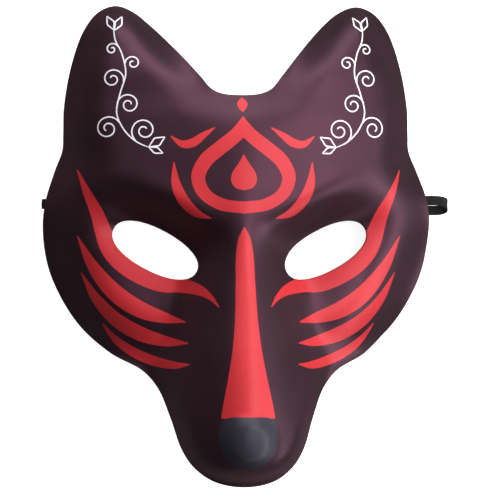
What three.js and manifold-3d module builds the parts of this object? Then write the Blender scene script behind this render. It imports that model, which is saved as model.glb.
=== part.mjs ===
// Kitsune mask: a moulded foam fox face with an elastic strap, lying face up on its rim.
// Millimetres. X runs across the face, Y from chin to ears, Z out of the face.
// The origin is in the middle of the mask's footprint, on the surface it lies on.
import * as THREE from 'three';
import { mergeVertices } from 'three/addons/utils/BufferGeometryUtils.js';
import Module from 'manifold-3d';

const wasm = await Module();
wasm.setup();

// Overall size of the shell
const MASK_WIDTH = 192;
const MASK_HEIGHT = 235;
const MASK_DEPTH = 94;

// Moulded foam wall, and the upright part of its cut edge
const WALL = 2.5;
const CUT_EDGE = 1.2;

// Eye holes: slanting ovals
const EYE_LENGTH = 45;
const EYE_OPENING = 20.5;
const EYE_SPACING = 83.4;
const EYE_DROP = 3.7;
const EYE_TILT = THREE.MathUtils.degToRad(28);
const EYE_SQUARENESS = 2.2;

// Nose pad at the end of the muzzle; its rise is full and ends at shares of its radius
const NOSE_WIDTH = 29;
const NOSE_LENGTH = 27;
const NOSE_RISE = 3;
const NOSE_MIDDLE_SHARE = -0.805;
const NOSE_FULL_SHARE = 0.5;
const NOSE_END_SHARE = 1.15;

// Arches of the rim at the temples, which let the strap pass
const ARCH_HEIGHT = 7.5;
const ARCH_LENGTH = 50;
const ARCH_CENTRE = 18.5;

// Flat elastic strap
const STRAP_WIDTH = 4.8;
const STRAP_THICKNESS = 1.1;

// How far the cutting bodies reach past the form, and the step at which slopes are measured
const CUT_MARGIN = 10;
const BLOCK_MARGIN = 6;
const BLOCK_FLOOR = -20;
const SLOPE_STEP = 0.5;

// Mesh fineness: cells of the outer face, the inner face and the trimmed rim, across and along,
// and steps along the outlines and the strap
const OUTER_CELL = [4.4, 4.4];
const INNER_CELL = [5.6, 5.6];
const TRIM_CELL = [12, 2.4];
const OUTLINE_STEPS = 150;
const EYE_STEPS = 36;
const STRAP_STEPS = 78;

const HALF_WIDTH = MASK_WIDTH / 2;
const HALF_HEIGHT = MASK_HEIGHT / 2;

// Half of the outline from the dip between the ears to the chin,
// as shares of the half width and the half height
const HALF_OUTLINE_SHARES = [
  [0, 0.609], [0.099, 0.616], [0.154, 0.637], [0.205, 0.687], [0.318, 0.8], [0.443, 0.912],
  [0.531, 0.973], [0.625, 1], [0.715, 0.972], [0.79, 0.893], [0.855, 0.74], [0.891, 0.57],
  [0.895, 0.455], [0.899, 0.39], [0.94, 0.298], [0.989, 0.165], [1, 0.045], [0.961, -0.133],
  [0.824, -0.337], [0.66, -0.46], [0.496, -0.533], [0.421, -0.604], [0.36, -0.726],
  [0.31, -0.847], [0.252, -0.92], [0.153, -0.977], [0, -1],
];

// Heights along the middle line and around the rim: share of the half height, share of the depth
const RIDGE_HEIGHT_SHARES = [
  [-1, 0.665], [-0.96, 0.79], [-0.915, 0.895], [-0.85, 0.95], [-0.7, 0.952], [-0.477, 0.867],
  [-0.255, 0.755], [-0.034, 0.649], [0.128, 0.59], [0.315, 0.535], [0.6, 0.42], [1, 0.2],
];
const FACE_HEIGHT_SHARES = [
  [-1, 0.31], [-0.51, 0.37], [-0.34, 0.392], [-0.17, 0.435], [0, 0.525], [0.128, 0.572],
  [0.315, 0.567], [0.51, 0.518], [0.61, 0.478], [0.72, 0.435], [0.85, 0.36], [1, 0.29],
];
const JAW_HEIGHT_SHARES = [
  [-1, 0.628], [-0.92, 0.543], [-0.77, 0.457], [-0.6, 0.357], [-0.53, 0.287], [-0.48, 0.2],
  [-0.43, 0.08], [-0.385, 0], [1, 0],
];

// Roundness of the ridge across, share of the half width, and the slope of its flanks
const RIDGE_ROUND_SHARES = [
  [-1, 0.33], [-0.7, 0.235], [-0.48, 0.19], [-0.25, 0.165], [0, 0.11], [0.3, 0.32], [1, 0.3],
];
const FLANK_SLOPE = 1.8;

// Width of the rolled edge around the rim, share of the half width
const ROLL_WIDTH_SHARES = [
  [-1, 0.12], [-0.7, 0.12], [-0.5, 0.17], [-0.3, 0.32], [0.3, 0.33], [0.5, 0.24], [1, 0.215],
];
const ROLL_POWER = 3;

// Fall of the face towards its sides, and the raised rim between the ears
const SIDE_FALL_SHARE = 0.4;
const SIDE_POWER = 2.35;
const NOTCH_HEIGHT_SHARE = 0.42;
const NOTCH_INNER_SHARE = 0.14;
const NOTCH_OUTER_SHARE = 0.52;
const NOTCH_START_SHARE = 0.15;
const NOTCH_FULL_SHARE = 0.5;

// Eye socket, brow and cheek, as shares of the half width and the depth.
// The socket's floor lifts from its upper to its lower lid.
const SOCKET = { depthShare: 0.218, alongShare: 0.365, aboveShare: 0.21, belowShare: 0.23, power: 1.62 };
const LID = { liftShare: 0.6, upperShare: 0.12, lowerShare: -0.18 };
const BROW = { riseShare: 0.022, alongShare: 0.28, acrossShare: 0.075, offsetShare: 0.255 };
const CHEEK = { riseShare: 0.065, xShare: 0.63, yShare: -0.3, reachShare: 0.24 };
const BLEND_SHARE = 0.075;

// Route of the strap's middle line, from the right temple's inner face to the left one's
const STRAP_ROUTE = [
  [83.4, 18.6, 14.9], [86.4, 19.2, 11], [89.4, 20, 7.4], [91.6, 20.5, 5.5], [94.4, 20.9, 5.1],
  [98.4, 21, 5.6], [102.4, 20.6, 5.8], [104.4, 19.7, 5], [105.1, 18.4, 3.3], [104.3, 17.1, 1.6],
  [102.2, 16.3, 0.95], [97.5, 16.1, 0.9], [91, 16.4, 0.9], [82, 20, 0.9], [70, 30.5, 0.9],
  [60, 45, 0.9], [48, 57.5, 0.9], [30, 66, 0.9], [10, 68.6, 0.9], [-12, 67.3, 0.9], [-31, 61, 0.9],
  [-46, 51.5, 0.9], [-57, 40, 0.9], [-68, 29.5, 0.9], [-79, 22.5, 0.9], [-88, 19.6, 0.9],
  [-93.6, 19.1, 0.95], [-95.4, 19, 1.6], [-96.1, 19.1, 3.2], [-95.4, 19.2, 4.6], [-93.6, 19.3, 5.5],
  [-91.4, 19.4, 6.3], [-89.2, 19.5, 8.3], [-86.4, 19.4, 11.5], [-83.4, 19.2, 15],
];

const foam = new THREE.MeshStandardMaterial({ color: 0x3a2a33, roughness: 0.5, metalness: 0 });
foam.name = 'foam_skin';
const elastic = new THREE.MeshStandardMaterial({ color: 0x121214, roughness: 0.85, metalness: 0 });
elastic.name = 'elastic';

// Smooth curve through a table of positions and values, level beyond its ends
function profile(table, position) {
  const last = table.length - 1;
  if (position <= table[0][0]) return table[0][1];
  if (position >= table[last][0]) return table[last][1];
  let i = 0;
  while (table[i + 1][0] < position) i += 1;
  const slope = (k) => {
    const before = table[Math.max(k - 1, 0)];
    const after = table[Math.min(k + 1, last)];
    return (after[1] - before[1]) / (after[0] - before[0]);
  };
  const [x0, y0] = table[i];
  const [x1, y1] = table[i + 1];
  const span = x1 - x0;
  const t = (position - x0) / span;
  const s = 1 - t;
  return y0 * s * s * (1 + 2 * t) + y1 * t * t * (3 - 2 * t)
    + span * (slope(i) * t * s * s - slope(i + 1) * t * t * s);
}

// The whole outline of the shell as a closed curve
function outlinePoints() {
  const right = HALF_OUTLINE_SHARES.map(([u, v]) => new THREE.Vector3(u * HALF_WIDTH, v * HALF_HEIGHT, 0));
  const left = right.slice(1, -1).reverse().map((p) => new THREE.Vector3(-p.x, p.y, 0));
  const curve = new THREE.CatmullRomCurve3([...right, ...left], true, 'centripetal');
  return curve.getSpacedPoints(OUTLINE_STEPS).slice(0, -1).reverse();
}

// Place of a point seen from the eye hole on its side: along the slant and across it
function eyeCoordinates(x, y) {
  const dx = Math.abs(x) - EYE_SPACING / 2;
  const dy = y + EYE_DROP;
  const along = dx * Math.cos(EYE_TILT) + dy * Math.sin(EYE_TILT);
  const across = dy * Math.cos(EYE_TILT) - dx * Math.sin(EYE_TILT);
  return [along, across];
}

function eyeHole(side) {
  const path = new THREE.Path();
  const round = (value) => Math.sign(value) * Math.abs(value) ** (2 / EYE_SQUARENESS);
  for (let i = 0; i < EYE_STEPS; i += 1) {
    const turn = (i / EYE_STEPS) * 2 * Math.PI;
    const along = (EYE_LENGTH / 2) * round(Math.cos(turn));
    const across = (EYE_OPENING / 2) * round(Math.sin(turn));
    const x = side * (EYE_SPACING / 2 + along * Math.cos(EYE_TILT) - across * Math.sin(EYE_TILT));
    const y = along * Math.sin(EYE_TILT) + across * Math.cos(EYE_TILT) - EYE_DROP;
    if (i === 0) path.moveTo(x, y);
    else path.lineTo(x, y);
  }
  path.closePath();
  return path;
}

const OUTLINE = outlinePoints();

// Distance of a point from the outline, positive inside it
function insideDistance(x, y) {
  let nearest = Infinity;
  let inside = false;
  for (let i = 0; i < OUTLINE.length; i += 1) {
    const a = OUTLINE[i];
    const b = OUTLINE[(i + 1) % OUTLINE.length];
    const ex = b.x - a.x;
    const ey = b.y - a.y;
    const along = THREE.MathUtils.clamp(((x - a.x) * ex + (y - a.y) * ey) / (ex * ex + ey * ey), 0, 1);
    nearest = Math.min(nearest, Math.hypot(x - a.x - along * ex, y - a.y - along * ey));
    if (a.y > y !== b.y > y && x < a.x + ((y - a.y) * ex) / ey) inside = !inside;
  }
  return inside ? nearest : -nearest;
}

// Height of the shell's trimmed underside: on the surface at ears and cheeks, arched at the
// temples, and rising to the chin and to the dip between the ears
function trimHeight(x, y) {
  const u = Math.abs(x) / HALF_WIDTH;
  const v = y / HALF_HEIGHT;
  const jaw = MASK_DEPTH * profile(JAW_HEIGHT_SHARES, v);
  const fromArch = THREE.MathUtils.clamp(Math.abs(y - ARCH_CENTRE) / (ARCH_LENGTH / 2), 0, 1);
  const arch = ARCH_HEIGHT * (0.5 + 0.5 * Math.cos(fromArch * Math.PI));
  const outward = THREE.MathUtils.smoothstep(u, NOTCH_INNER_SHARE, NOTCH_OUTER_SHARE);
  const upward = THREE.MathUtils.smoothstep(v, NOTCH_START_SHARE, NOTCH_FULL_SHARE);
  return Math.max(jaw, arch, MASK_DEPTH * NOTCH_HEIGHT_SHARE * (1 - outward) * upward);
}

// Smooth swell that is full at its middle and dies away over its reach
function bump(value, middle, reach) {
  return Math.exp(-(((value - middle) / reach) ** 2));
}

// Height of the moulded form before its edge is rolled down
function bodyHeight(x, y) {
  const u = Math.abs(x) / HALF_WIDTH;
  const v = y / HALF_HEIGHT;
  const [along, across] = eyeCoordinates(x, y).map((value) => value / HALF_WIDTH);
  const reach = across > 0 ? SOCKET.aboveShare : SOCKET.belowShare;
  const hollow = (along / SOCKET.alongShare) ** 2 + (across / reach) ** 2;
  const floor = 1 - LID.liftShare * THREE.MathUtils.smoothstep(-across, -LID.upperShare, -LID.lowerShare);
  const socket = SOCKET.depthShare * floor * Math.exp(-(hollow ** SOCKET.power));
  const overBrow = bump(along, 0, BROW.alongShare) * bump(across, BROW.offsetShare, BROW.acrossShare);
  const overCheek = bump(u, CHEEK.xShare, CHEEK.reachShare) * bump(v, CHEEK.yShare, CHEEK.reachShare);
  const raised = BROW.riseShare * overBrow + CHEEK.riseShare * overCheek;
  const face = profile(FACE_HEIGHT_SHARES, v) - SIDE_FALL_SHARE * u ** SIDE_POWER - socket + raised;
  const round = profile(RIDGE_ROUND_SHARES, v);
  const flank = (FLANK_SLOPE * (Math.hypot(u, round) - round) * HALF_WIDTH) / MASK_DEPTH;
  const muzzle = profile(RIDGE_HEIGHT_SHARES, v) - flank;
  const blended = (face + muzzle + Math.hypot(face - muzzle, BLEND_SHARE)) / 2;
  const noseMiddle = HALF_HEIGHT * NOSE_MIDDLE_SHARE;
  const fromNose = Math.hypot(x / (NOSE_WIDTH / 2), (y - noseMiddle) / (NOSE_LENGTH / 2));
  const nose = NOSE_RISE * (1 - THREE.MathUtils.smoothstep(fromNose, NOSE_FULL_SHARE, NOSE_END_SHARE));
  return MASK_DEPTH * blended + nose;
}

function outerHeight(x, y) {
  const edge = trimHeight(x, y) + CUT_EDGE;
  const share = insideDistance(x, y) / (HALF_WIDTH * profile(ROLL_WIDTH_SHARES, y / HALF_HEIGHT));
  let rolled = 1;
  if (share < 0) rolled = ROLL_POWER * share;
  else if (share < 1) rolled = 1 - (1 - share) ** ROLL_POWER;
  return edge + (bodyHeight(x, y) - edge) * rolled;
}

// The inner face lies one wall behind the outer face, measured square to it
function innerHeight(x, y) {
  const slopeX = (outerHeight(x + SLOPE_STEP, y) - outerHeight(x - SLOPE_STEP, y)) / (2 * SLOPE_STEP);
  const slopeY = (outerHeight(x, y + SLOPE_STEP) - outerHeight(x, y - SLOPE_STEP)) / (2 * SLOPE_STEP);
  return outerHeight(x, y) - WALL * Math.hypot(1, slopeX, slopeY);
}

function toSolid(geometry) {
  geometry.deleteAttribute('normal');
  geometry.deleteAttribute('uv');
  const merged = mergeVertices(geometry, 1e-4);
  return new wasm.Manifold(new wasm.Mesh({
    numProp: 3,
    vertProperties: new Float32Array(merged.attributes.position.array),
    triVerts: new Uint32Array(merged.index.array),
  }));
}

// A block that fills everything below a height
function blockBelow(height, cell) {
  const width = MASK_WIDTH + 2 * BLOCK_MARGIN;
  const length = MASK_HEIGHT + 2 * BLOCK_MARGIN;
  const columns = Math.round(width / cell[0]);
  const rows = Math.round(length / cell[1]);
  const box = new THREE.BoxGeometry(width, length, 2, columns, rows, 1);
  const position = box.attributes.position;
  for (let i = 0; i < position.count; i += 1) {
    const top = position.getZ(i) > 0;
    position.setZ(i, top ? height(position.getX(i), position.getY(i)) : BLOCK_FLOOR);
  }
  return toSolid(box);
}

function makeShell() {
  const plan = new THREE.Shape(OUTLINE.map((p) => new THREE.Vector2(p.x, p.y)));
  plan.holes.push(eyeHole(1), eyeHole(-1));
  const prism = new THREE.ExtrudeGeometry(plan, { depth: MASK_DEPTH + 2 * CUT_MARGIN, bevelEnabled: false });
  prism.translate(0, 0, -CUT_MARGIN);
  const solid = toSolid(prism)
    .intersect(blockBelow(outerHeight, OUTER_CELL))
    .subtract(blockBelow(innerHeight, INNER_CELL))
    .subtract(blockBelow(trimHeight, TRIM_CELL));
  const mesh = solid.getMesh();
  const geometry = new THREE.BufferGeometry();
  geometry.setAttribute('position', new THREE.BufferAttribute(new Float32Array(mesh.vertProperties), 3));
  geometry.setIndex(new THREE.BufferAttribute(new Uint32Array(mesh.triVerts), 1));
  geometry.computeVertexNormals();
  const shell = new THREE.Mesh(geometry, foam);
  shell.name = 'mask_shell';
  return shell;
}

// The flat band keeps its width as near to the Y direction as its route allows
function makeStrap() {
  const places = STRAP_ROUTE.map((p) => new THREE.Vector3(...p));
  const route = new THREE.CatmullRomCurve3(places, false, 'centripetal');
  const halfWidth = STRAP_WIDTH / 2;
  const halfThick = STRAP_THICKNESS / 2;
  const corner = STRAP_THICKNESS / 4;
  const section = new THREE.Shape([
    new THREE.Vector2(halfWidth, corner - halfThick),
    new THREE.Vector2(halfWidth, halfThick - corner),
    new THREE.Vector2(halfWidth - corner, halfThick),
    new THREE.Vector2(corner - halfWidth, halfThick),
    new THREE.Vector2(-halfWidth, halfThick - corner),
    new THREE.Vector2(-halfWidth, corner - halfThick),
    new THREE.Vector2(corner - halfWidth, -halfThick),
    new THREE.Vector2(halfWidth - corner, -halfThick),
  ]);
  const straight = new THREE.ExtrudeGeometry(section, { steps: STRAP_STEPS, depth: 1, bevelEnabled: false });
  const position = straight.attributes.position;
  for (let i = 0; i < position.count; i += 1) {
    const share = THREE.MathUtils.clamp(position.getZ(i), 0, 1);
    const ahead = route.getTangent(share);
    const sideways = new THREE.Vector3(0, 1, 0).addScaledVector(ahead, -ahead.y).normalize();
    const outward = new THREE.Vector3().crossVectors(ahead, sideways);
    const place = route.getPoint(share)
      .addScaledVector(sideways, position.getX(i))
      .addScaledVector(outward, position.getY(i));
    position.setXYZ(i, place.x, place.y, place.z);
  }
  straight.computeVertexNormals();
  const strap = new THREE.Mesh(straight, elastic);
  strap.name = 'elastic_strap';
  return strap;
}

const mask = new THREE.Group();
mask.add(makeShell(), makeStrap());

export default mask;
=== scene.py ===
import math

import bpy
import numpy as np
from mathutils import Matrix, Vector
from mathutils.geometry import delaunay_2d_cdt
from mathutils.kdtree import KDTree


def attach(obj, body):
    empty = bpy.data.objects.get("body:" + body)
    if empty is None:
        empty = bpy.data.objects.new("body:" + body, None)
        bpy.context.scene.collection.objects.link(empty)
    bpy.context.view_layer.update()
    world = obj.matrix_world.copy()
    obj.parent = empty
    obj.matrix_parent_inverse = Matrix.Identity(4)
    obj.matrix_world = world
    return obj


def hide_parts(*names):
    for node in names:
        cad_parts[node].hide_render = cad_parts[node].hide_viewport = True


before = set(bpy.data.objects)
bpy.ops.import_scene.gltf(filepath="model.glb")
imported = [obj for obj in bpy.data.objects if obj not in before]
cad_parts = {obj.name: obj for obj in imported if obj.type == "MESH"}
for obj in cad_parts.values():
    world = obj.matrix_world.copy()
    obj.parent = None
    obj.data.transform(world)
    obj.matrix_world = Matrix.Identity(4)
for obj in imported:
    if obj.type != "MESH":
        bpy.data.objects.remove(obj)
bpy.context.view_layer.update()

# The form is worked out in millimetres and made in metres
MM = 0.001

# Sizes of the shell, its eye holes, nose pad and rim arches, and of the strap, as in the frame
MASK_WIDTH = 192.0
MASK_HEIGHT = 235.0
MASK_DEPTH = 94.0
WALL = 2.5
CUT_EDGE = 1.2
EYE_LENGTH = 45.0
EYE_OPENING = 20.5
EYE_SPACING = 83.4
EYE_DROP = 3.7
EYE_TILT = math.radians(28)
EYE_SQUARENESS = 2.2
NOSE_WIDTH = 29.0
NOSE_LENGTH = 27.0
NOSE_RISE = 3.0
ARCH_HEIGHT = 7.5
ARCH_LENGTH = 50.0
ARCH_CENTRE = 18.5
STRAP_WIDTH = 4.8
STRAP_THICKNESS = 1.1

HALF_WIDTH = MASK_WIDTH / 2
HALF_HEIGHT = MASK_HEIGHT / 2

# Fineness of the dressed shell, in millimetres: spacing of its two faces' grids, the share of it that
# a grid point keeps from every border, the distance at which points are one, and steps along its
# outline, eye holes and print
OUTER_SPACING = 1.7
INNER_SPACING = 2.6
GRID_ROOM = 0.62
MERGE_DISTANCE = 1e-5
LOOP_STEP = 1.2
EYE_STEP = 0.9
SHAPE_STEP = 0.9
STROKE_STEP = 0.8
LINE_STEP = 0.7

# Points worked out around an eye hole and around the nose's print before they are spaced evenly
EYE_POINTS = 720
NOSE_POINTS = 120

# Steps at which distances from the outline and slopes are measured
OUTLINE_STEP = 2.4
SLOPE_STEP = 0.4

# Trimmed edges: how far their rounding reaches over the outer face, down the cut, up from the bottom
# and over the inner face, how much their corners and walls lean, where the inner edge is looked for, and
# how often its line is smoothed
EDGE_ROUND = 0.6
EDGE_DROP = 0.5
EDGE_LIFT = 0.3
INNER_ROUND = 0.4
CORNER_LEAN = 0.9
WALL_LEAN = 0.15
BOTTOM_LEAN = 0.1
RIM_SEARCH = np.arange(0.6, 8, 0.2)
RIM_SMOOTHINGS = 3

# Shares of the half width and the half height: the outline from the dip between the ears to the chin
HALF_OUTLINE = [
    (0, 0.609), (0.099, 0.616), (0.154, 0.637), (0.205, 0.687), (0.318, 0.8), (0.443, 0.912),
    (0.531, 0.973), (0.625, 1), (0.715, 0.972), (0.79, 0.893), (0.855, 0.74), (0.891, 0.57),
    (0.895, 0.455), (0.899, 0.39), (0.94, 0.298), (0.989, 0.165), (1, 0.045), (0.961, -0.133),
    (0.824, -0.337), (0.66, -0.46), (0.496, -0.533), (0.421, -0.604), (0.36, -0.726),
    (0.31, -0.847), (0.252, -0.92), (0.153, -0.977), (0, -1),
]

# Shares of the half height against shares of the depth
RIDGE_HEIGHT = [
    (-1, 0.665), (-0.96, 0.79), (-0.915, 0.895), (-0.85, 0.95), (-0.7, 0.952), (-0.477, 0.867),
    (-0.255, 0.755), (-0.034, 0.649), (0.128, 0.59), (0.315, 0.535), (0.6, 0.42), (1, 0.2),
]
FACE_HEIGHT = [
    (-1, 0.31), (-0.51, 0.37), (-0.34, 0.392), (-0.17, 0.435), (0, 0.525), (0.128, 0.572),
    (0.315, 0.567), (0.51, 0.518), (0.61, 0.478), (0.72, 0.435), (0.85, 0.36), (1, 0.29),
]
JAW_HEIGHT = [
    (-1, 0.628), (-0.92, 0.543), (-0.77, 0.457), (-0.6, 0.357), (-0.53, 0.287), (-0.48, 0.2),
    (-0.43, 0.08), (-0.385, 0), (1, 0),
]

# Roundness of the ridge and width of the rolled edge, as shares of the half width
RIDGE_ROUND = [
    (-1, 0.33), (-0.7, 0.235), (-0.48, 0.19), (-0.25, 0.165), (0, 0.11), (0.3, 0.32), (1, 0.3),
]
ROLL_WIDTH = [
    (-1, 0.12), (-0.7, 0.12), (-0.5, 0.17), (-0.3, 0.32), (0.3, 0.33), (0.5, 0.24), (1, 0.215),
]

# Slope of the ridge's flanks, roll of the edge, fall of the face towards its sides, and the raised rim
# between the ears
FLANK_SLOPE = 1.8
ROLL_POWER = 3.0
SIDE_FALL = 0.4
SIDE_POWER = 2.35
NOTCH_HEIGHT = 0.42
NOTCH_INNER = 0.14
NOTCH_OUTER = 0.52
NOTCH_START = 0.15
NOTCH_FULL = 0.5

# Eye socket, the lift of its floor towards the lower lid, brow, cheek, and how softly ridge and face join
SOCKET = {"depth": 0.218, "along": 0.365, "above": 0.21, "below": 0.23, "power": 1.62}
LID = {"lift": 0.6, "upper": 0.12, "lower": -0.18}
BROW = {"rise": 0.022, "along": 0.28, "across": 0.075, "offset": 0.255}
CHEEK = {"rise": 0.065, "x": 0.63, "y": -0.3, "reach": 0.24}
BLEND = 0.075

# Middle of the nose pad, and the shares of its radius at which its rise is full and ends
NOSE_MIDDLE = -0.805 * HALF_HEIGHT
NOSE_FULL = 0.5
NOSE_END = 1.15

# Camera: the picture's width in pixels, the sensor's width and the distance in millimetres, how far it
# sees in metres, and one pixel's size in millimetres on the surface under the mask
FRAME_PIXELS = 500
SENSOR = 36.0
CAMERA_DISTANCE = 1600.0
CAMERA_REACH = 10
PIXEL_SIZE = 0.498
CAMERA_YAW = math.radians(4.2)
CAMERA_AIM = (7.0, -3.65, 0.0)

# Route of the strap's middle line in metres, from the right temple's inner face to the left one's
STRAP_ROUTE = [
    (0.0834, 0.0186, 0.0149), (0.0864, 0.0192, 0.011), (0.0894, 0.02, 0.0074),
    (0.0916, 0.0205, 0.0055), (0.0944, 0.0209, 0.0051), (0.0984, 0.021, 0.0056),
    (0.1024, 0.0206, 0.0058), (0.1044, 0.0197, 0.005), (0.1051, 0.0184, 0.0033),
    (0.1043, 0.0171, 0.0016), (0.1022, 0.0163, 0.00095), (0.0975, 0.0161, 0.0009),
    (0.091, 0.0164, 0.0009), (0.082, 0.02, 0.0009), (0.07, 0.0305, 0.0009), (0.06, 0.045, 0.0009),
    (0.048, 0.0575, 0.0009), (0.03, 0.066, 0.0009), (0.01, 0.0686, 0.0009), (-0.012, 0.0673, 0.0009),
    (-0.031, 0.061, 0.0009), (-0.046, 0.0515, 0.0009), (-0.057, 0.04, 0.0009),
    (-0.068, 0.0295, 0.0009), (-0.079, 0.0225, 0.0009), (-0.088, 0.0196, 0.0009),
    (-0.0936, 0.0191, 0.00095), (-0.0954, 0.019, 0.0016), (-0.0961, 0.0191, 0.0032),
    (-0.0954, 0.0192, 0.0046), (-0.0936, 0.0193, 0.0055), (-0.0914, 0.0194, 0.0063),
    (-0.0892, 0.0195, 0.0083), (-0.0864, 0.0194, 0.0115), (-0.0834, 0.0192, 0.015),
]


def make_camera():
    data = bpy.data.cameras.new("camera")
    data.sensor_width = SENSOR
    data.lens = CAMERA_DISTANCE / PIXEL_SIZE * SENSOR / FRAME_PIXELS
    data.clip_end = CAMERA_REACH
    camera = bpy.data.objects.new("camera", data)
    bpy.context.scene.collection.objects.link(camera)
    aim = Vector(CAMERA_AIM)
    back = Vector((-math.sin(CAMERA_YAW), 0, math.cos(CAMERA_YAW)))
    up = Vector((0, 1, 0))
    right = up.cross(back)
    turn = Matrix((right, up, back)).transposed().to_4x4()
    camera.matrix_world = Matrix.Translation((aim + back * CAMERA_DISTANCE) * MM) @ turn
    bpy.context.scene.camera = camera


def catmull_rom(points, closed, steps):
    """Centripetal Catmull-Rom curve through the points, with some steps for each of them."""
    points = np.array(points, float)
    count = len(points)
    curve = []
    for k in range(count if closed else count - 1):
        p1 = points[k]
        p2 = points[(k + 1) % count]
        before = points[k - 1] if closed or k > 0 else 2 * p1 - p2
        after = points[(k + 2) % count] if closed or k + 2 < count else 2 * p2 - p1
        d0, d1, d2 = (np.linalg.norm(b - a) ** 0.5 for a, b in ((before, p1), (p1, p2), (p2, after)))
        m1 = ((p1 - before) / d0 - (p2 - before) / (d0 + d1) + (p2 - p1) / d1) * d1
        m2 = ((p2 - p1) / d1 - (after - p1) / (d1 + d2) + (after - p2) / d2) * d1
        for t in np.arange(steps) / steps:
            s = 1 - t
            start, end = s * s * (1 + 2 * t), t * t * (3 - 2 * t)
            curve.append(start * p1 + t * s * s * m1 + end * p2 - t * t * s * m2)
    if not closed:
        curve.append(points[-1])
    return np.array(curve)


def evenly(curve, step, closed):
    """The same line with its points about one step apart."""
    line = np.vstack([curve, curve[:1]]) if closed else curve
    length = np.concatenate([[0], np.cumsum(np.linalg.norm(np.diff(line[:, :2], axis=0), axis=1))])
    count = max(3, round(length[-1] / step))
    places = np.linspace(0, length[-1], count + 1)
    if closed:
        places = places[:-1]
    return np.stack([np.interp(places, length, line[:, k]) for k in range(line.shape[1])], axis=1)


def profile(table, position):
    """Smooth curve through a table of positions and values, level beyond its ends."""
    xs, ys = np.array(table, float).T
    last = len(xs) - 1
    before = np.maximum(np.arange(last + 1) - 1, 0)
    after = np.minimum(np.arange(last + 1) + 1, last)
    slope = (ys[after] - ys[before]) / (xs[after] - xs[before])
    place = np.clip(position, xs[0], xs[-1])
    i = np.clip(np.searchsorted(xs, place, side="right") - 1, 0, last - 1)
    span = xs[i + 1] - xs[i]
    t = (place - xs[i]) / span
    s = 1 - t
    return (ys[i] * s * s * (1 + 2 * t) + ys[i + 1] * t * t * (3 - 2 * t)
            + span * (slope[i] * t * s * s - slope[i + 1] * t * t * s))


def smoothstep(value, low, high):
    t = np.clip((value - low) / (high - low), 0, 1)
    return t * t * (3 - 2 * t)


def whole_outline(step):
    right = [(u * HALF_WIDTH, v * HALF_HEIGHT) for u, v in HALF_OUTLINE]
    left = [(-x, y) for x, y in right[-2:0:-1]]
    return evenly(catmull_rom(right + left, closed=True, steps=24), step, closed=True)[::-1]


OUTLINE = whole_outline(OUTLINE_STEP)


def inside_distance(x, y):
    """Distance from the outline, positive inside it."""
    nearest = np.full(x.shape, np.inf)
    inside = np.zeros(x.shape, bool)
    for (ax, ay), (bx, by) in zip(OUTLINE, np.roll(OUTLINE, -1, axis=0)):
        ex, ey = bx - ax, by - ay
        along = np.clip(((x - ax) * ex + (y - ay) * ey) / (ex * ex + ey * ey), 0, 1)
        nearest = np.minimum(nearest, np.hypot(x - ax - along * ex, y - ay - along * ey))
        if ay != by:
            inside ^= ((ay > y) != (by > y)) & (x < ax + (y - ay) * ex / ey)
    return np.where(inside, nearest, -nearest)


def eye_coordinates(x, y):
    dx = np.abs(x) - EYE_SPACING / 2
    dy = y + EYE_DROP
    along = dx * math.cos(EYE_TILT) + dy * math.sin(EYE_TILT)
    across = dy * math.cos(EYE_TILT) - dx * math.sin(EYE_TILT)
    return along, across


def from_eye(along, across):
    x = EYE_SPACING / 2 + along * math.cos(EYE_TILT) - across * math.sin(EYE_TILT)
    y = along * math.sin(EYE_TILT) + across * math.cos(EYE_TILT) - EYE_DROP
    return x, y


def eye_curve(grown, turns):
    """Points around the right eye hole, grown by a distance, at the given turns."""
    power = 2 / EYE_SQUARENESS
    cos, sin = np.cos(turns), np.sin(turns)
    along = (EYE_LENGTH / 2 + grown) * np.sign(cos) * np.abs(cos) ** power
    across = (EYE_OPENING / 2 + grown) * np.sign(sin) * np.abs(sin) ** power
    return np.stack(from_eye(along, across), axis=1)


def trim_height(x, y):
    """Height of the trimmed underside of the shell."""
    v = y / HALF_HEIGHT
    jaw = MASK_DEPTH * profile(JAW_HEIGHT, v)
    from_arch = np.clip(np.abs(y - ARCH_CENTRE) / (ARCH_LENGTH / 2), 0, 1)
    arch = ARCH_HEIGHT * (0.5 + 0.5 * np.cos(from_arch * math.pi))
    outward = smoothstep(np.abs(x), NOTCH_INNER * HALF_WIDTH, NOTCH_OUTER * HALF_WIDTH)
    notch = MASK_DEPTH * NOTCH_HEIGHT * (1 - outward) * smoothstep(v, NOTCH_START, NOTCH_FULL)
    return np.maximum(np.maximum(jaw, arch), notch)


def bump(value, middle, reach):
    return np.exp(-(((value - middle) / reach) ** 2))


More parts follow.
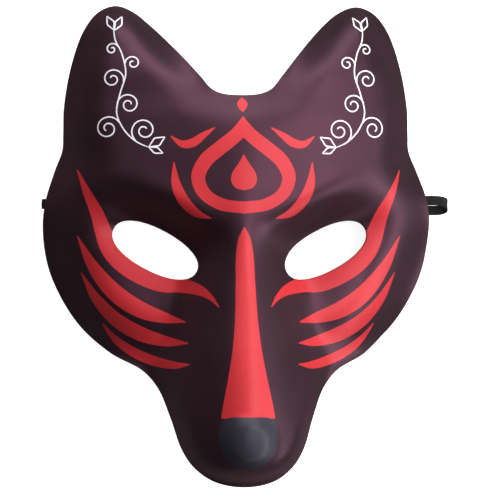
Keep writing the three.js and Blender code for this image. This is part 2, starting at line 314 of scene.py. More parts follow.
def body_height(x, y):
    """Height of the moulded form before its edge is rolled down."""
    u = np.abs(x) / HALF_WIDTH
    v = y / HALF_HEIGHT
    along, across = (value / HALF_WIDTH for value in eye_coordinates(x, y))
    reach = np.where(across > 0, SOCKET["above"], SOCKET["below"])
    hollow = (along / SOCKET["along"]) ** 2 + (across / reach) ** 2
    floor = 1 - LID["lift"] * smoothstep(-across, -LID["upper"], -LID["lower"])
    socket = SOCKET["depth"] * floor * np.exp(-(hollow ** SOCKET["power"]))
    brow = BROW["rise"] * bump(along, 0, BROW["along"]) * bump(across, BROW["offset"], BROW["across"])
    cheek = CHEEK["rise"] * bump(u, CHEEK["x"], CHEEK["reach"]) * bump(v, CHEEK["y"], CHEEK["reach"])
    face = profile(FACE_HEIGHT, v) - SIDE_FALL * u ** SIDE_POWER - socket + brow + cheek
    rounding = profile(RIDGE_ROUND, v)
    flank = FLANK_SLOPE * (np.hypot(u, rounding) - rounding) * HALF_WIDTH / MASK_DEPTH
    muzzle = profile(RIDGE_HEIGHT, v) - flank
    blended = (face + muzzle + np.hypot(face - muzzle, BLEND)) / 2
    from_nose = np.hypot(x / (NOSE_WIDTH / 2), (y - NOSE_MIDDLE) / (NOSE_LENGTH / 2))
    nose = NOSE_RISE * (1 - smoothstep(from_nose, NOSE_FULL, NOSE_END))
    return MASK_DEPTH * blended + nose


def outer_height(x, y):
    edge = trim_height(x, y) + CUT_EDGE
    share = inside_distance(x, y) / (HALF_WIDTH * profile(ROLL_WIDTH, y / HALF_HEIGHT))
    rolled = np.where(share < 0, ROLL_POWER * share, 1 - np.clip(1 - share, 0, 1) ** ROLL_POWER)
    return edge + (body_height(x, y) - edge) * rolled


def slopes(x, y):
    across = (outer_height(x + SLOPE_STEP, y) - outer_height(x - SLOPE_STEP, y)) / (2 * SLOPE_STEP)
    along = (outer_height(x, y + SLOPE_STEP) - outer_height(x, y - SLOPE_STEP)) / (2 * SLOPE_STEP)
    return across, along


def both_heights(x, y):
    """Heights of the outer and the inner face, and the direction square to them."""
    across, along = slopes(x, y)
    steep = np.sqrt(1 + across ** 2 + along ** 2)
    outer = outer_height(x, y)
    square = np.stack([-across / steep, -along / steep, 1 / steep], axis=1)
    return outer, outer - WALL * steep, square


def in_polygon(x, y, polygon):
    inside = np.zeros(x.shape, bool)
    for (ax, ay), (bx, by) in zip(polygon, np.roll(polygon, -1, axis=0)):
        if ay != by:
            inside ^= ((ay > y) != (by > y)) & (x < ax + (y - ay) * (bx - ax) / (by - ay))
    return inside


def inward_normals(loop):
    """Unit directions to the left of a closed line."""
    along = np.roll(loop, -1, axis=0) - np.roll(loop, 1, axis=0)
    left = np.stack([-along[:, 1], along[:, 0]], axis=1)
    return left / np.linalg.norm(left, axis=1, keepdims=True)


def mirrored(polygon):
    return (polygon * (-1, 1))[::-1]


def ribbon(points, step=STROKE_STEP):
    """Outline of a stroke: each point has its place and its half width."""
    line = evenly(catmull_rom(points, closed=False, steps=16), step, closed=False)
    ahead = np.gradient(line[:, :2], axis=0)
    ahead /= np.linalg.norm(ahead, axis=1, keepdims=True)
    side = np.stack([-ahead[:, 1], ahead[:, 0]], axis=1) * line[:, 2:3]
    return evenly(np.vstack([line[:, :2] - side, (line[:, :2] + side)[::-1]]), step, closed=True)


# Red print: a flaming jewel on the brow, a stripe down the muzzle, a liner under each eye and whiskers.
# Strokes give places and half widths.
JEWEL_OUTER = [
    (0, 61), (5.5, 54.5), (13, 48.5), (21, 41.5), (25.2, 32), (22, 22.5), (12.5, 15.8), (0, 13.8),
]
JEWEL_INNER = [
    (0, 50.5), (4.5, 46.5), (10.5, 41.8), (15.8, 37), (18.6, 31), (16, 24.8), (9, 20.8), (0, 19.6),
]
JEWEL_DROP = [(0, 42.5), (2.6, 38), (5.6, 33.5), (6.2, 29.6), (4.2, 26.3), (0, 25)]
TOP_FLAME = [(0, 63, 0.2), (0, 64.8, 1.7), (0, 67, 2.6), (0, 69, 1.6), (0, 70.3, 0.2)]
SIDE_FLAMES = [
    [(15.5, 11.5, 0.2), (22.5, 14, 1.9), (28.7, 20, 2.6), (32.4, 28, 2.2), (33.5, 39, 0.2)],
    [(13.5, 55.5, 0.2), (19, 51.8, 1.5), (24.5, 48, 2.1), (29.2, 47.4, 1.7), (35, 51.5, 0.2)],
]
STRIPE = [
    (0, 7.5, 0.2), (0, 2, 2.8), (0, -6, 4.2), (0, -20, 4.7), (0, -36, 5.4), (0, -50, 6.8), (0, -62, 8.8),
    (0, -72, 10.8), (0, -79, 12.2), (0, -83.2, 12.8),
]
WHISKERS = [
    [(27.5, -38.5, 0.2), (37, -36.6, 2.6), (49, -32.6, 4),
     (61, -24.6, 4.1), (71.5, -12, 2.8), (79.5, 3.5, 0.2)],
    [(26.5, -48.5, 0.2), (36, -48, 2.4), (48, -44.8, 3.5),
     (60, -38, 3.4), (70, -27.5, 2.3), (77.5, -14.5, 0.2)],
    [(26, -58.5, 0.2), (33.5, -59.2, 1.8), (43, -57.4, 2.4),
     (53, -53, 2.3), (61, -47, 1.6), (67, -39.5, 0.2)],
]

# The liner touches the eye hole's lower edge: turns in degrees around the hole and half widths
LINER_LAP = 1.3
LINER = [(228, 3.8), (246, 4.4), (266, 4.7), (286, 4.8), (306, 4.7), (326, 4.5)]
LINER_CORNER = [(12.5, -31, 0.2), (16.2, -26.4, 1.3), (21.5, -22.9, 2.6)]
LINER_WING = [(69.8, 14, 3.2), (74.8, 24.5, 1.9), (79.5, 36, 0.2)]

# The nose's print is square at its top and round at its bottom: shares of the nose pad, and powers
NOSE_PRINT = {"width": 0.945, "above": 0.91, "below": 0.93, "top_power": 0.4, "bottom_power": 1.05}


def pointed_shape(half):
    """A shape symmetric about the middle line, pointed at its top."""
    right = catmull_rom(half, closed=False, steps=12)
    return evenly(np.vstack([right, (right * (-1, 1))[-2:0:-1]]), SHAPE_STEP, closed=True)


def eye_liner():
    """A stroke along the eye hole's lower edge, pointed at the inner corner and drawn out to a wing."""
    along = [(*eye_curve(half - LINER_LAP, np.radians([turn]))[0], half) for turn, half in LINER]
    return ribbon([*LINER_CORNER, *along, *LINER_WING])


def red_shapes():
    shapes = [eye_liner()] + [ribbon(stroke) for stroke in WHISKERS + SIDE_FLAMES]
    shapes += [mirrored(shape) for shape in shapes]
    return shapes + [ribbon(TOP_FLAME), ribbon(STRIPE), pointed_shape(JEWEL_DROP)]


# White line work on the ears: a vine with curls and leaves. Half widths of its lines, points in one
# turn of a curl, how far and how fast a curl tightens, and how near a leaf's shoulder is to its belly.
LINE = 0.34
FINE_LINE = 0.2
CURL_POINTS = 14
CURL_TIGHTENING = 0.8
CURL_POWER = 0.85
LEAF_SHOULDER = 0.6
VINE = [(45.5, 46, FINE_LINE), (51, 48.6, LINE), (57, 54.5, LINE), (60.5, 63, LINE), (58.6, 73, LINE),
        (56, 82, LINE), (57.6, 92, LINE), (60.8, 99.5, LINE), (61.5, 107, FINE_LINE)]


def curl(branch, heading, side, radius, turns):
    """A curl that leaves a line at a point with a heading in degrees, to its left (1) or right (-1)."""
    heading = math.radians(heading)
    out = heading + side * math.pi / 2
    centre = (branch[0] + radius * math.cos(out), branch[1] + radius * math.sin(out))
    points = []
    for share in np.linspace(0, 1, round(CURL_POINTS * turns)):
        angle = out + math.pi + side * share * turns * 2 * math.pi
        reach = radius * (1 - CURL_TIGHTENING * share ** CURL_POWER)
        points.append((centre[0] + reach * math.cos(angle), centre[1] + reach * math.sin(angle), LINE))
    return points


def leaf(base, tip, belly):
    """Two strokes that close a pointed leaf."""
    base = np.array(base)
    tip = np.array(tip)
    side = np.array([-(tip - base)[1], (tip - base)[0]]) * belly
    strokes = []
    for sign in (1, -1):
        middle = (base + tip) / 2 + sign * side
        shoulder = LEAF_SHOULDER * middle + (1 - LEAF_SHOULDER) * base
        strokes.append([(*base, FINE_LINE), (*shoulder, LINE), (*middle, LINE),
                        (*((middle + tip) / 2), LINE), (*tip, FINE_LINE)])
    return strokes


def white_shapes():
    strokes = [
        VINE,
        curl((51.5, 49), 38, 1, 6.6, 1.55),
        curl((59, 58), 66, -1, 6.4, 1.6),
        curl((60.2, 68), 100, 1, 5.6, 1.5),
        curl((57, 78), 108, -1, 5.6, 1.5),
        curl((56.4, 87), 84, 1, 4, 1.35),
        curl((59.4, 96), 66, -1, 3.3, 1.3),
        *leaf((45.5, 46), (37.5, 51), 0.22),
        *leaf((45.5, 46), (38.5, 43), 0.2),
        *leaf((61, 104), (57, 111.5), 0.2),
        *leaf((61, 104), (64.5, 112), 0.2),
    ]
    shapes = [ribbon(s, LINE_STEP) for s in strokes]
    return shapes + [mirrored(s) for s in shapes]


def nose_shape():
    turns = np.linspace(0, 2 * math.pi, NOSE_POINTS, endpoint=False)
    above = np.sin(turns) > 0
    power = np.where(above, NOSE_PRINT["top_power"], NOSE_PRINT["bottom_power"])
    length = NOSE_LENGTH / 2 * np.where(above, NOSE_PRINT["above"], NOSE_PRINT["below"])
    x = NOSE_PRINT["width"] * NOSE_WIDTH / 2 * np.sign(np.cos(turns)) * np.abs(np.cos(turns)) ** power
    y = NOSE_MIDDLE + length * np.sign(np.sin(turns)) * np.abs(np.sin(turns)) ** power
    return evenly(np.stack([x, y], axis=1), STROKE_STEP, closed=True)


SKIN, RED, WHITE, NOSE, LINING, CORE = range(6)


class Print:
    """Which colour of the print covers a point."""

    def __init__(self):
        self.red = red_shapes()
        self.jewel = [pointed_shape(JEWEL_OUTER), pointed_shape(JEWEL_INNER)]
        self.white = white_shapes()
        self.nose = nose_shape()

    def borders(self):
        return self.red + self.jewel + self.white + [self.nose]

    def colours(self, x, y):
        red = in_polygon(x, y, self.jewel[0]) & ~in_polygon(x, y, self.jewel[1])
        for shape in self.red:
            red |= in_polygon(x, y, shape)
        white = np.zeros(x.shape, bool)
        for shape in self.white:
            white |= in_polygon(x, y, shape)
        colours = np.where(red, RED, SKIN)
        colours = np.where(white, WHITE, colours)
        return np.where(in_polygon(x, y, self.nose), NOSE, colours)


def triangulate(loops, borders, spacing):
    """Triangles that fill the first loop outside the other loops and follow all the borders.

    Gives the points, the triangles, and the indices of each loop's points.
    """
    points = []
    edges = []
    starts = []
    for line in loops + borders:
        starts.append(len(points))
        points.extend(map(tuple, line[:, :2]))
        edges.extend((starts[-1] + k, starts[-1] + (k + 1) % len(line)) for k in range(len(line)))
    tree = KDTree(len(points))
    for k, (x, y) in enumerate(points):
        tree.insert((x, y, 0), k)
    tree.balance()
    row_step = spacing * math.sqrt(3) / 2
    rows = np.arange(-HALF_HEIGHT, HALF_HEIGHT, row_step)
    columns = np.arange(-HALF_WIDTH, HALF_WIDTH, spacing)
    grid = np.array([(x + spacing / 2 * (j % 2), y) for j, y in enumerate(rows) for x in columns])
    inside = in_polygon(grid[:, 0], grid[:, 1], loops[0])
    for hole in loops[1:]:
        inside &= ~in_polygon(grid[:, 0], grid[:, 1], hole)
    room = GRID_ROOM * spacing
    points.extend((x, y) for x, y in grid[inside] if tree.find((x, y, 0))[2] > room)
    found = delaunay_2d_cdt([Vector(p) for p in points], edges, [], 0, MERGE_DISTANCE)
    flat = np.array([tuple(v) for v in found[0]])
    faces = np.array(found[2])
    middle = flat[faces].mean(axis=1)
    keep = in_polygon(middle[:, 0], middle[:, 1], loops[0])
    for hole in loops[1:]:
        keep &= ~in_polygon(middle[:, 0], middle[:, 1], hole)
    faces = faces[keep]
    new_place = {}
    for index, originals in enumerate(found[3]):
        for original in originals:
            new_place[original] = index
    used = np.unique(faces)
    compact = np.full(len(flat), -1)
    compact[used] = np.arange(len(used))
    loop_places = []
    for start, loop in zip(starts, loops):
        loop_places.append(np.array([compact[new_place[start + k]] for k in range(len(loop))]))
    return flat[used], compact[faces], loop_places


class MeshPile:
    """Collects vertices, their normals and faces with their materials."""

    def __init__(self):
        self.places = []
        self.normals = []
        self.faces = []
        self.slots = []

    def add(self, places, normals):
        start = sum(len(p) for p in self.places)
        self.places.append(places)
        self.normals.append(normals)
        return np.arange(start, start + len(places))

    def strip(self, first, second, slots):
        """Faces between two closed rings of as many vertices."""
        for k in range(len(first)):
            n = (k + 1) % len(first)
            self.faces.append((first[k], first[n], second[n], second[k]))
            self.slots.append(int(slots[k]))

    def fill(self, triangles, slots, flipped=False):
        for face, slot in zip(triangles, slots):
            self.faces.append(tuple(face[::-1]) if flipped else tuple(face))
            self.slots.append(int(slot))

    def make(self, name, materials):
        places = np.vstack(self.places) * MM
        mesh = bpy.data.meshes.new(name)
        mesh.from_pydata(places.tolist(), [], [[int(i) for i in f] for f in self.faces])
        for material in materials:
            mesh.materials.append(material)
        mesh.polygons.foreach_set("material_index", np.array(self.slots, np.int32))
        mesh.polygons.foreach_set("use_smooth", np.ones(len(self.faces), bool))
        normals = np.vstack(self.normals)
        mesh.normals_split_custom_set_from_vertices(normals.tolist())
        mesh.validate()
        mesh.update()
        piece = bpy.data.objects.new(name, mesh)
        bpy.context.scene.collection.objects.link(piece)
        return piece


def with_height(flat, height):
    return np.column_stack([flat, height])


def flat_normals(directions, up):
    """Normals that lean from a level direction by a rise."""
    normals = np.column_stack([directions, np.full(len(directions), up)])
    return normals / np.linalg.norm(normals, axis=1, keepdims=True)


def rounded(first, corner, last):
    """The middle of a curve that cuts a corner."""
    return 0.25 * first + 0.5 * corner + 0.25 * last


def rim_depths(outline, inward):
    """How far in from the outline the inner face meets the trimmed underside."""
    gaps = []
    for step in RIM_SEARCH:
        place = outline + inward * step
        inner = both_heights(*place.T)[1]
        gaps.append(inner - trim_height(*place.T))
    gaps = np.array(gaps)
    depths = np.full(len(outline), RIM_SEARCH[-1])
    for k in range(len(outline)):
        above = np.flatnonzero(gaps[:, k] > 0)
        if len(above) and above[0] > 0:
            j = above[0]
            share = gaps[j - 1, k] / (gaps[j - 1, k] - gaps[j, k])
            depths[k] = RIM_SEARCH[j - 1] + share * (RIM_SEARCH[j] - RIM_SEARCH[j - 1])
        elif len(above):
            depths[k] = RIM_SEARCH[0]
    for _ in range(RIM_SMOOTHINGS):
        depths = rounded(np.roll(depths, 1), depths, np.roll(depths, -1))
    return depths


def make_shell(materials):
    printed = Print()
    pile = MeshPile()
    outline = whole_outline(LOOP_STEP)
    inward = inward_normals(outline)
    eye_turns = np.linspace(0, 2 * math.pi, EYE_POINTS, endpoint=False)
    right_eye = evenly(eye_curve(0, eye_turns), EYE_STEP, closed=True)
    eyes = [right_eye, mirrored(right_eye)]
    eye_outward = [-inward_normals(eye) for eye in eyes]

    outer_loops = [outline + inward * EDGE_ROUND]
    outer_loops += [eye + out * EDGE_ROUND for eye, out in zip(eyes, eye_outward)]
    flat, triangles, loop_places = triangulate(outer_loops, printed.borders(), OUTER_SPACING)
    outer, _, square = both_heights(*flat.T)
    outer_index = pile.add(with_height(flat, outer), square)
    middle = flat[triangles].mean(axis=1)
    pile.fill(outer_index[triangles], printed.colours(*middle.T))

    depths = rim_depths(outline, inward)
    inner_rim = outline + inward * depths[:, None]
    inner_loops = [inner_rim]
    inner_loops += [eye + out * INNER_ROUND for eye, out in zip(eyes, eye_outward)]
    inner_flat, inner_triangles, inner_places = triangulate(inner_loops, [], INNER_SPACING)
    _, inner, inner_square = both_heights(*inner_flat.T)
    inner[inner_places[0]] = trim_height(*inner_rim.T)
    inner_index = pile.add(with_height(inner_flat, inner), -inner_square)
    pile.fill(inner_index[inner_triangles], np.full(len(inner_triangles), LINING), flipped=True)

    # The trimmed rim, from the outer face round the cut edge to the inner face
    away = -inward
    trim = trim_height(*outline.T)
    top = with_height(outline, trim + CUT_EDGE)
    low = with_height(outline, trim)
    first = with_height(outer_loops[0], outer_height(*outer_loops[0].T))
    upper = with_height(outline, trim + CUT_EDGE - EDGE_DROP)
    lower = with_height(outline, trim + EDGE_LIFT)
    bottom_place = outline + inward * INNER_ROUND
    bottom = with_height(bottom_place, trim_height(*bottom_place.T))
    rings = [
        outer_index[loop_places[0]],
        pile.add(rounded(first, top, upper), flat_normals(away, CORNER_LEAN)),
        pile.add(upper, flat_normals(away, WALL_LEAN)),
        pile.add(lower, flat_normals(away, -WALL_LEAN)),
        pile.add(rounded(lower, low, bottom), flat_normals(away, -1)),
        pile.add(bottom, flat_normals(away * BOTTOM_LEAN, -1)),
        inner_index[inner_places[0]],
    ]
    slots = [SKIN, SKIN, CORE, CORE, CORE, CORE]
    for a, b, slot in zip(rings, rings[1:], slots):
        pile.strip(b, a, np.full(len(outline), slot))

    # The cut edges of the eye holes
    for number, (eye, out) in enumerate(zip(eyes, eye_outward)):
        outer_edge, inner_edge, _ = both_heights(*eye.T)
        loop = outer_loops[1 + number]
        first = with_height(loop, outer_height(*loop.T))
        upper = with_height(eye, outer_edge - EDGE_DROP)
        lower = with_height(eye, inner_edge + INNER_ROUND)
        last_place = inner_loops[1 + number]
        last = with_height(last_place, both_heights(*last_place.T)[1])
        rings = [
            outer_index[loop_places[1 + number]],
            pile.add(rounded(first, with_height(eye, outer_edge), upper), flat_normals(-out, CORNER_LEAN)),
            pile.add(upper, flat_normals(-out, WALL_LEAN)),
            pile.add(lower, flat_normals(-out, -WALL_LEAN)),
            pile.add(rounded(lower, with_height(eye, inner_edge), last), flat_normals(-out, -CORNER_LEAN)),
            inner_index[inner_places[1 + number]],
        ]
        between = (loop + np.roll(loop, -1, axis=0)) / 2
        wrapped = printed.colours(*between.T)
        plain = np.full(len(eye), CORE)
        for a, b, slots in zip(rings, rings[1:], [wrapped, wrapped, plain, plain, plain]):
            pile.strip(a, b, slots)
    return pile.make("shell_skin", materials)


def new_material(name):
    material = bpy.data.materials.new(name)
    material.use_nodes = True
    return material, material.node_tree.nodes, material.node_tree.links


def shader_of(nodes):
    return next(node for node in nodes if node.type == "BSDF_PRINCIPLED")


def noise(nodes, links, coordinates, scale, detail=3.0, roughness=0.5):
    node = nodes.new("ShaderNodeTexNoise")
    node.inputs["Scale"].default_value = scale
    node.inputs["Detail"].default_value = detail
    node.inputs["Roughness"].default_value = roughness
    links.new(coordinates, node.inputs["Vector"])
    return node.outputs["Fac"]


def mapped(nodes, links, value, low, high, to_low, to_high):
    node = nodes.new("ShaderNodeMapRange")
    node.inputs["From Min"].default_value = low
    node.inputs["From Max"].default_value = high
    node.inputs["To Min"].default_value = to_low
    node.inputs["To Max"].default_value = to_high
    links.new(value, node.inputs["Value"])
    return node.outputs["Result"]


def mixed(nodes, links, factor, first, second):
    node = nodes.new("ShaderNodeMix")
    node.data_type = "RGBA"
    node.inputs["A"].default_value = (*first, 1)
    node.inputs["B"].default_value = (*second, 1)
    links.new(factor, node.inputs["Factor"])
    return node.outputs["Result"]


def set_looks(shader, looks):
    for socket, value in looks.items():
        shader.inputs[socket].default_value = value


def relief(nodes, links, height, strength, distance, under=None):
    """Fine relief of a surface, over a coarser or finer one if there is one."""
    node = nodes.new("ShaderNodeBump")
    node.inputs["Strength"].default_value = strength
    node.inputs["Distance"].default_value = distance
    links.new(height, node.inputs["Height"])
    if under:
        links.new(under, node.inputs["Normal"])
    return node.outputs["Normal"]


def calculated(nodes, links, operation, value, factor=None, added=None):
    node = nodes.new("ShaderNodeMath")
    node.operation = operation
    links.new(value, node.inputs[0])
    if factor is not None:
        node.inputs[1].default_value = factor
    if added is not None:
        links.new(added, node.inputs[2])
    return node.outputs["Value"]


# The prints, in the order of their colours above: darkest and lightest colour of their mottling,
# middle roughness, tint of their gloss and sheen, index of refraction and weight of the sheen
PRINTS = {
    "aubergine_skin": ((0.0092, 0.0052, 0.0067), (0.0138, 0.0078, 0.01), 0.42, (1, 0.4, 0.62), 1.5, 0.07),
    "red_print": ((0.44, 0.0195, 0.025), (0.485, 0.024, 0.0305), 0.45, (1, 0.5, 0.55), 1.5, 0),
    "white_print": ((0.66, 0.63, 0.67), (0.76, 0.73, 0.77), 0.5, (1, 1, 1), 1.5, 0),
    "slate_nose": ((0.0125, 0.0115, 0.0185), (0.017, 0.016, 0.0255), 0.5, (0.9, 0.85, 1), 1.45, 0),
}
UNEVEN_GLOSS = 0.035
NOISE_RANGE = (0.3, 0.7)
GRAIN_RELIEF = {"strength": 0.12, "distance": 0.0002}
SWELL_RELIEF = {"strength": 0.12, "distance": 0.0006}
PRINT_SPECULAR = 0.5
PRINT_SHEEN_ROUGHNESS = 0.45

# Bare foam: darkest and lightest colour and cells in a metre
LINING_FOAM = ((0.012, 0.011, 0.012), (0.02, 0.019, 0.021), 900)
CUT_FOAM = ((0.016, 0.013, 0.015), (0.03, 0.026, 0.029), 2200)
FOAM_ROUGHNESS = 0.9
CELL_RELIEF = {"strength": 0.35, "distance": 0.0003}

# Woven elastic: pitch of its rows of thread, ribs on half its width, their share in the weave, the
# weave's range, and its looks
THREAD_PITCH = 0.0006
WEAVE_RIBS = 6
RIB_SHARE = 0.6
WEAVE_RANGE = 1.4
WEAVE_RELIEF = {"strength": 0.5, "distance": 0.00015}
# Colours of the elastic: painted shade for the weave's grooves and painted light for its crowns
ELASTIC_GROOVE_SHADE = (0.0025, 0.0025, 0.003)
ELASTIC_CROWN_LIGHT = (0.008, 0.008, 0.009)
ELASTIC_LOOKS = {
    "Roughness": 0.7, "Specular IOR Level": 0.25, "Sheen Weight": 0.04, "Sheen Roughness": 0.4,
}


def print_material(name, dark, light, roughness, tint, ior, sheen):
    """Satin print on moulded foam: mottled colour, a fine grain and slightly uneven gloss."""
    material, nodes, links = new_material(name)
    shader = shader_of(nodes)
    place = nodes.new("ShaderNodeTexCoord").outputs["Object"]
    cloud = noise(nodes, links, place, scale=28, detail=4, roughness=0.55)
    mottling = mapped(nodes, links, cloud, *NOISE_RANGE, 0, 1)
    links.new(mixed(nodes, links, mottling, dark, light), shader.inputs["Base Color"])
    patchy = noise(nodes, links, place, scale=60)
    gloss = mapped(nodes, links, patchy, *NOISE_RANGE, roughness - UNEVEN_GLOSS, roughness + UNEVEN_GLOSS)
    links.new(gloss, shader.inputs["Roughness"])
    grain = noise(nodes, links, place, scale=1500, detail=2, roughness=0.6)
    swell = noise(nodes, links, place, scale=160, detail=2)
    grained = relief(nodes, links, grain, **GRAIN_RELIEF)
    links.new(relief(nodes, links, swell, **SWELL_RELIEF, under=grained), shader.inputs["Normal"])
    set_looks(shader, {
        "Specular IOR Level": PRINT_SPECULAR, "Specular Tint": (*tint, 1), "IOR": ior,
        "Sheen Weight": sheen, "Sheen Roughness": PRINT_SHEEN_ROUGHNESS, "Sheen Tint": (*tint, 1),
    })
    return material


def lining_material(name, dark, light, cells):
    """Bare foam: small closed cells and no gloss."""
    material, nodes, links = new_material(name)
    shader = shader_of(nodes)
    place = nodes.new("ShaderNodeTexCoord").outputs["Object"]
    cloud = noise(nodes, links, place, scale=40, detail=4)
    links.new(mixed(nodes, links, cloud, dark, light), shader.inputs["Base Color"])
    shader.inputs["Roughness"].default_value = FOAM_ROUGHNESS
    pores = nodes.new("ShaderNodeTexVoronoi")
    pores.inputs["Scale"].default_value = cells
    links.new(place, pores.inputs["Vector"])
    links.new(relief(nodes, links, pores.outputs["Distance"], **CELL_RELIEF), shader.inputs["Normal"])
    return material


def elastic_material():
    """Black woven elastic: ribs along the band and fine rows of thread across it, with painted shade in
    the weave's grooves and painted light on its crowns.
    """
    material, nodes, links = new_material("black_elastic")
    shader = shader_of(nodes)
    band = nodes.new("ShaderNodeAttribute")
    band.attribute_name = "band"
    parts = nodes.new("ShaderNodeSeparateXYZ")
    links.new(band.outputs["Vector"], parts.inputs["Vector"])
    rows = calculated(nodes, links, "MULTIPLY", parts.outputs["X"], 2 * math.pi / THREAD_PITCH)
    ribs = calculated(nodes, links, "MULTIPLY", parts.outputs["Y"], 2 * math.pi * WEAVE_RIBS)
    rows, ribs = (calculated(nodes, links, "SINE", value) for value in (rows, ribs))
    weave = calculated(nodes, links, "MULTIPLY_ADD", ribs, RIB_SHARE, rows)
    links.new(relief(nodes, links, weave, **WEAVE_RELIEF), shader.inputs["Normal"])
    # The colour follows the weave's relief: painted shade in its grooves, painted light on its crowns
    crown_light = mapped(nodes, links, weave, -WEAVE_RANGE, WEAVE_RANGE, 0, 1)
    links.new(mixed(nodes, links, crown_light, ELASTIC_GROOVE_SHADE, ELASTIC_CROWN_LIGHT), shader.inputs["Base Color"])
    set_looks(shader, ELASTIC_LOOKS)
    return material


# The band's mesh: steps for each point of the route, sides of its section, the powers that square the
# section across and through, and the depth and number of its ribs
BAND_STEPS = 10
BAND_SIDES = 40
BAND_POWERS = (0.55, 0.35)
BAND_RIB_DEPTH = 0.1
BAND_RIBS = 6


def make_strap(material):
    """The flat band, swept along its route with its width kept near the Y direction."""
    route = catmull_rom(STRAP_ROUTE, closed=False, steps=BAND_STEPS)
    ahead = np.gradient(route, axis=0)
    ahead /= np.linalg.norm(ahead, axis=1, keepdims=True)
    sideways = np.array([0, 1, 0]) - ahead * ahead[:, 1:2]
    sideways /= np.linalg.norm(sideways, axis=1, keepdims=True)
    outward = np.cross(ahead, sideways)
    half_width = STRAP_WIDTH / 2 * MM
    half_thick = STRAP_THICKNESS / 2 * MM
    section = []
    for turn in np.linspace(0, 2 * math.pi, BAND_SIDES, endpoint=False):
        cos, sin = math.cos(turn), math.sin(turn)
        across = math.copysign(abs(cos) ** BAND_POWERS[0], cos)
        thick = math.copysign(abs(sin) ** BAND_POWERS[1], sin)
        rib = 1 - BAND_RIB_DEPTH * (0.5 - 0.5 * math.cos(across * BAND_RIBS * math.pi))
        section.append((across * half_width, thick * half_thick * rib, across))
    length = np.concatenate([[0], np.cumsum(np.linalg.norm(np.diff(route, axis=0), axis=1))])
    places = []
    band = []
    for k in range(len(route)):
        for wide, thick, share in section:
            places.append(route[k] + sideways[k] * wide + outward[k] * thick)
            band.append((length[k], share, 0))
    faces = []
    for start in range(0, (len(route) - 1) * BAND_SIDES, BAND_SIDES):
        for j in range(BAND_SIDES):
            n = (j + 1) % BAND_SIDES
            faces.append((start + j, start + n, start + BAND_SIDES + n, start + BAND_SIDES + j))
    faces.append(tuple(range(BAND_SIDES))[::-1])
    last = (len(route) - 1) * BAND_SIDES
    faces.append(tuple(range(last, last + BAND_SIDES)))
    mesh = bpy.data.meshes.new("strap_band")
    mesh.from_pydata([tuple(p) for p in places], [], faces)
    attribute = mesh.attributes.new("band", "FLOAT_VECTOR", "POINT")
    attribute.data.foreach_set("vector", np.array(band, np.float32).ravel())
    mesh.polygons.foreach_set("use_smooth", np.ones(len(faces), bool))
    mesh.materials.append(material)
    mesh.update()
    strap = bpy.data.objects.new("strap_band", mesh)
    bpy.context.scene.collection.objects.link(strap)
    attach(strap, "root")
    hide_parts("elastic_strap")
    return strap


# The floor: heights and radii of its rings in metres, their sides, and its looks
FLOOR_RINGS = [(0, 2.4), (0.03, 2.75), (0.15, 2.95), (0.4, 3.05), (3.2, 3.1)]
FLOOR_SIDES = 64
FLOOR_LOOKS = {
    "Base Color": (0.8, 0.8, 0.8, 1), "Roughness": 0.9, "Specular IOR Level": 0.1,
    "Emission Color": (1, 1, 1, 1), "Emission Strength": 0.85,
}


def make_floor():
    """A pale round floor that turns up into a backdrop all round."""
    places = []
    for height, radius in FLOOR_RINGS:
        for turn in np.linspace(0, 2 * math.pi, FLOOR_SIDES, endpoint=False):
            places.append((radius * math.cos(turn), radius * math.sin(turn), height))
    faces = [tuple(range(FLOOR_SIDES))]
    for start in range(0, (len(FLOOR_RINGS) - 1) * FLOOR_SIDES, FLOOR_SIDES):
        for k in range(FLOOR_SIDES):
            n = (k + 1) % FLOOR_SIDES
            faces.append((start + n, start + k, start + FLOOR_SIDES + k, start + FLOOR_SIDES + n))
    mesh = bpy.data.meshes.new("floor")
    mesh.from_pydata(places, [], faces)
    mesh.polygons.foreach_set("use_smooth", [False] + [True] * (len(faces) - 1))
    floor = bpy.data.objects.new("floor", mesh)
    bpy.context.scene.collection.objects.link(floor)
    material, nodes, _ = new_material("pale_floor")
    set_looks(shader_of(nodes), FLOOR_LOOKS)
    mesh.materials.append(material)
    floor.visible_glossy = False
    floor.visible_diffuse = False
    floor.visible_shadow = False


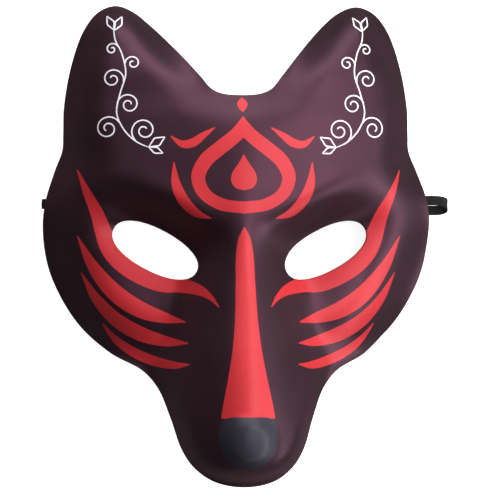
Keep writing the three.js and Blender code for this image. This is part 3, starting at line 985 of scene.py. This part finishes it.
# Soft boxes round the mask: turn to the right of straight above and turn towards the ears in degrees,
# distance and size in metres, power in watts
SOFT_BOXES = {
    "near": (22, 5, 2.2, (1.1, 1.1), 14.0),
    "key": (30, 28, 1.9, (1.0, 1.0), 12.0),
    "corner": (50, 45, 1.8, (1.1, 1.1), 9.0),
    "top": (-6, 66, 1.7, (2.2, 1.2), 22.0),
    "back": (-20, 79, 1.8, (2.4, 0.9), 14.0),
    "side": (75, 12, 1.7, (1.2, 1.5), 9.0),
    "low_side": (68, -25, 1.7, (1.3, 1.0), 10.0),
    "low_corner": (74, -66, 1.7, (1.3, 0.7), 8.5),
    "low": (30, -66, 1.7, (1.3, 0.6), 4.0),
    "left": (-40, 20, 1.9, (1.3, 1.3), 2.2),
    "above": (4, 2, 2.4, (0.8, 0.8), 8.0),
}
LIGHT_TARGET = Vector((0, 0, 0.03))
WORLD_STRENGTH = 0.07


def soft_box(name, right, up, distance, size, power):
    data = bpy.data.lights.new(name, "AREA")
    data.shape = "RECTANGLE"
    data.size, data.size_y = size
    data.energy = power
    light = bpy.data.objects.new(name, data)
    bpy.context.scene.collection.objects.link(light)
    direction = Vector((math.tan(math.radians(right)), math.tan(math.radians(up)), 1)).normalized()
    light.location = direction * distance
    light.rotation_euler = (LIGHT_TARGET - light.location).to_track_quat("-Z", "Y").to_euler()


def make_lights():
    for name, values in SOFT_BOXES.items():
        soft_box(name, *values)
    world = bpy.data.worlds.new("world")
    bpy.context.scene.world = world
    world.use_nodes = True
    background = world.node_tree.nodes["Background"]
    background.inputs["Color"].default_value = (1, 1, 1, 1)
    background.inputs["Strength"].default_value = WORLD_STRENGTH


def main():
    make_camera()
    make_strap(elastic_material())
    prints = [print_material(name, *looks) for name, looks in PRINTS.items()]
    lining = lining_material("foam_lining", *LINING_FOAM)
    core = lining_material("cut_foam", *CUT_FOAM)
    shell = make_shell([*prints, lining, core])
    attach(shell, "root")
    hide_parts("mask_shell")
    make_floor()
    make_lights()
    bpy.context.scene.view_settings.view_transform = "Standard"


main()
